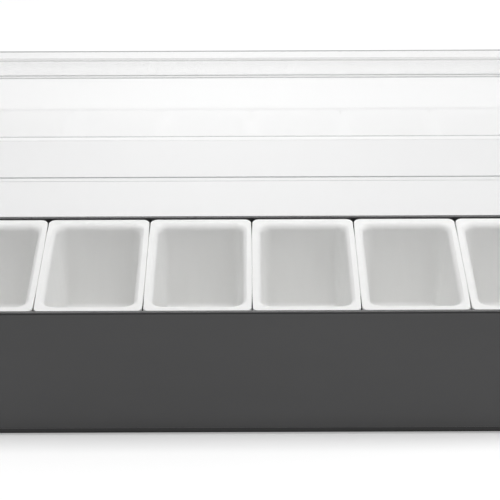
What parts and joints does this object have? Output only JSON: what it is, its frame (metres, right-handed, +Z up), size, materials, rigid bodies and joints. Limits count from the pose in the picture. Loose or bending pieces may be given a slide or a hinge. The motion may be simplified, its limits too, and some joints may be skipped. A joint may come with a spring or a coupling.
{
  "type": "condiment caddy",
  "caption": "Long counter caddy: a moulded tub with an ice well, a row of lift-out insert trays, and one clear faceted lid on a rear pin hinge.",
  "frame": {"origin": "on the counter under the middle of the open caddy's box; the middle of the tub's own footprint is 24.6 mm in front of it, at Y = -0.0246", "axes": "+X along the row of trays, to the right seen from the front; +Y from the front to the hinge side; +Z up; the lid is stored open"},
  "size_m": [0.4888, 0.1952, 0.241],
  "materials": {
    "tub_plastic": "fine satin moulding, near black",
    "tray_plastic": "smooth white moulding",
    "lid_plastic": "clear polished sheet",
    "pin_steel": "plain drawn wire",
    "foot_rubber": "matt"
  },
  "bodies": {
    "tub": {"tub_housing": "tub_plastic", "hinge_pin_left": "pin_steel", "hinge_pin_right": "pin_steel", "foot_front_left": "foot_rubber", "foot_front_right": "foot_rubber", "foot_rear_left": "foot_rubber", "foot_rear_right": "foot_rubber"},
    "lid": {"lid": "lid_plastic"},
    "tray_1": {"insert_tray_1": "tray_plastic"},
    "tray_2": {"insert_tray_2": "tray_plastic"},
    "tray_3": {"insert_tray_3": "tray_plastic"},
    "tray_4": {"insert_tray_4": "tray_plastic"},
    "tray_5": {"insert_tray_5": "tray_plastic"},
    "tray_6": {"insert_tray_6": "tray_plastic"}
  },
  "joints": [
    {"name": "lid_hinge", "type": "hinge", "parent": "tub", "child": "lid", "pos_m": [0, 0.0524, 0.093], "axis": [-1, 0, 0], "range_deg": [-90, 0]},
    {"name": "tray_1_lift", "type": "slide", "parent": "tub", "child": "tray_1", "axis": [0, 0, 1], "range_m": [0, 0.09]},
    {"name": "tray_2_lift", "type": "slide", "parent": "tub", "child": "tray_2", "axis": [0, 0, 1], "range_m": [0, 0.09]},
    {"name": "tray_3_lift", "type": "slide", "parent": "tub", "child": "tray_3", "axis": [0, 0, 1], "range_m": [0, 0.09]},
    {"name": "tray_4_lift", "type": "slide", "parent": "tub", "child": "tray_4", "axis": [0, 0, 1], "range_m": [0, 0.09]},
    {"name": "tray_5_lift", "type": "slide", "parent": "tub", "child": "tray_5", "axis": [0, 0, 1], "range_m": [0, 0.09]},
    {"name": "tray_6_lift", "type": "slide", "parent": "tub", "child": "tray_6", "axis": [0, 0, 1], "range_m": [0, 0.09]}
  ]
}
